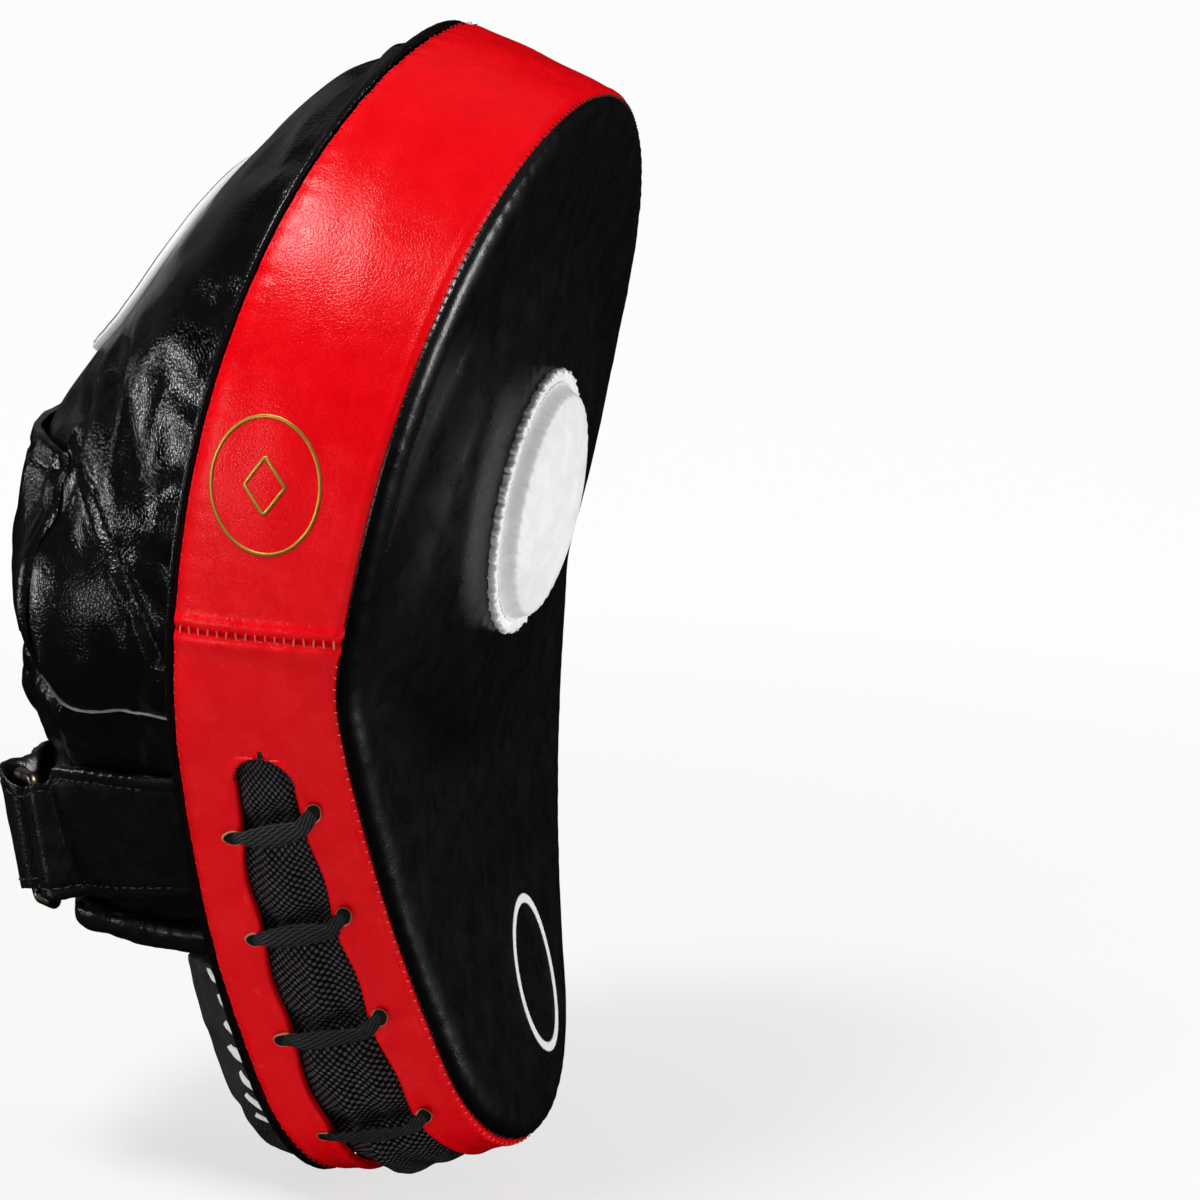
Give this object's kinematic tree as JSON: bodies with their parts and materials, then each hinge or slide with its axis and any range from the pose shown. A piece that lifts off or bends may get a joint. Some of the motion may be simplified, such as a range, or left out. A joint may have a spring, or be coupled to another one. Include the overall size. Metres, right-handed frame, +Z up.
{
  "type": "focus mitt",
  "caption": "Curved focus mitt for the left hand: padded striking face with a raised target, laced vented side band, hand compartment and ring-and-loop wrist strap.",
  "frame": {"origin": "on the palm lining, on the centre line, where the middle of the palm rests", "axes": "+Z up along the fingers, -Y out of the striking face towards the striker, -X the thumb side"},
  "size_m": [0.2105, 0.1422, 0.2995],
  "materials": {
    "black_leather": "smooth satin",
    "hand_leather": "pebbled, semi-gloss",
    "red_leather": "fine grain, semi-gloss",
    "white_leather": "fine grain, satin",
    "foam": "closed-cell foam",
    "board": "stiff fibre sheet",
    "mesh": "open knit",
    "lace": "flat braid",
    "lining": "brushed knit",
    "heel_cloth": "woven",
    "edging": "soft, moulded",
    "badge": "soft, moulded",
    "hook_tape": "hooks",
    "loop_tape": "loops",
    "ring_metal": "antique dark bronze plating"
  },
  "bodies": {
    "mitt": {"face_leather": "black_leather", "target_leather": "white_leather", "target_foam": "foam", "strike_foam": "foam", "core_foam": "foam", "back_board": "board", "back_leather": "black_leather", "back_welt": "hand_leather", "gusset_upper": "red_leather", "gusset_lower": "red_leather", "vent_mesh": "mesh", "lace_thumb_side": "lace", "lace_far_side": "lace", "hood_shell": "hand_leather", "hood_foam": "foam", "hood_lining": "lining", "hand_shell": "hand_leather", "cuff_shell": "hand_leather", "cuff_foam": "foam", "cuff_lining": "lining", "cuff_hem": "hand_leather", "knuckle_flap": "hand_leather", "hood_badge": "badge", "badge_edging": "edging", "thumb_pouch": "hand_leather", "palm_lining": "lining", "palm_ball": "black_leather", "heel_panel": "heel_cloth", "heel_foam": "foam", "ring_tab": "black_leather", "wrist_strap": "black_leather", "loop_patch": "loop_tape"},
    "ring": {"strap_ring": "ring_metal"},
    "tail": {"strap_tail": "black_leather", "hook_patch": "hook_tape"}
  },
  "joints": [
    {"name": "ring_swing", "type": "hinge", "parent": "mitt", "child": "ring", "pos_m": [-0.04876, 0.04636, -0.04691], "axis": [0, 0.1959, 0.9806], "range_deg": [-3.5, 3.5]},
    {"name": "tail_peel", "type": "hinge", "parent": "mitt", "child": "tail", "pos_m": [-0.03717, 0.05507, -0.04865], "axis": [0, 0.1959, 0.9806], "range_deg": [0, 120]}
  ]
}
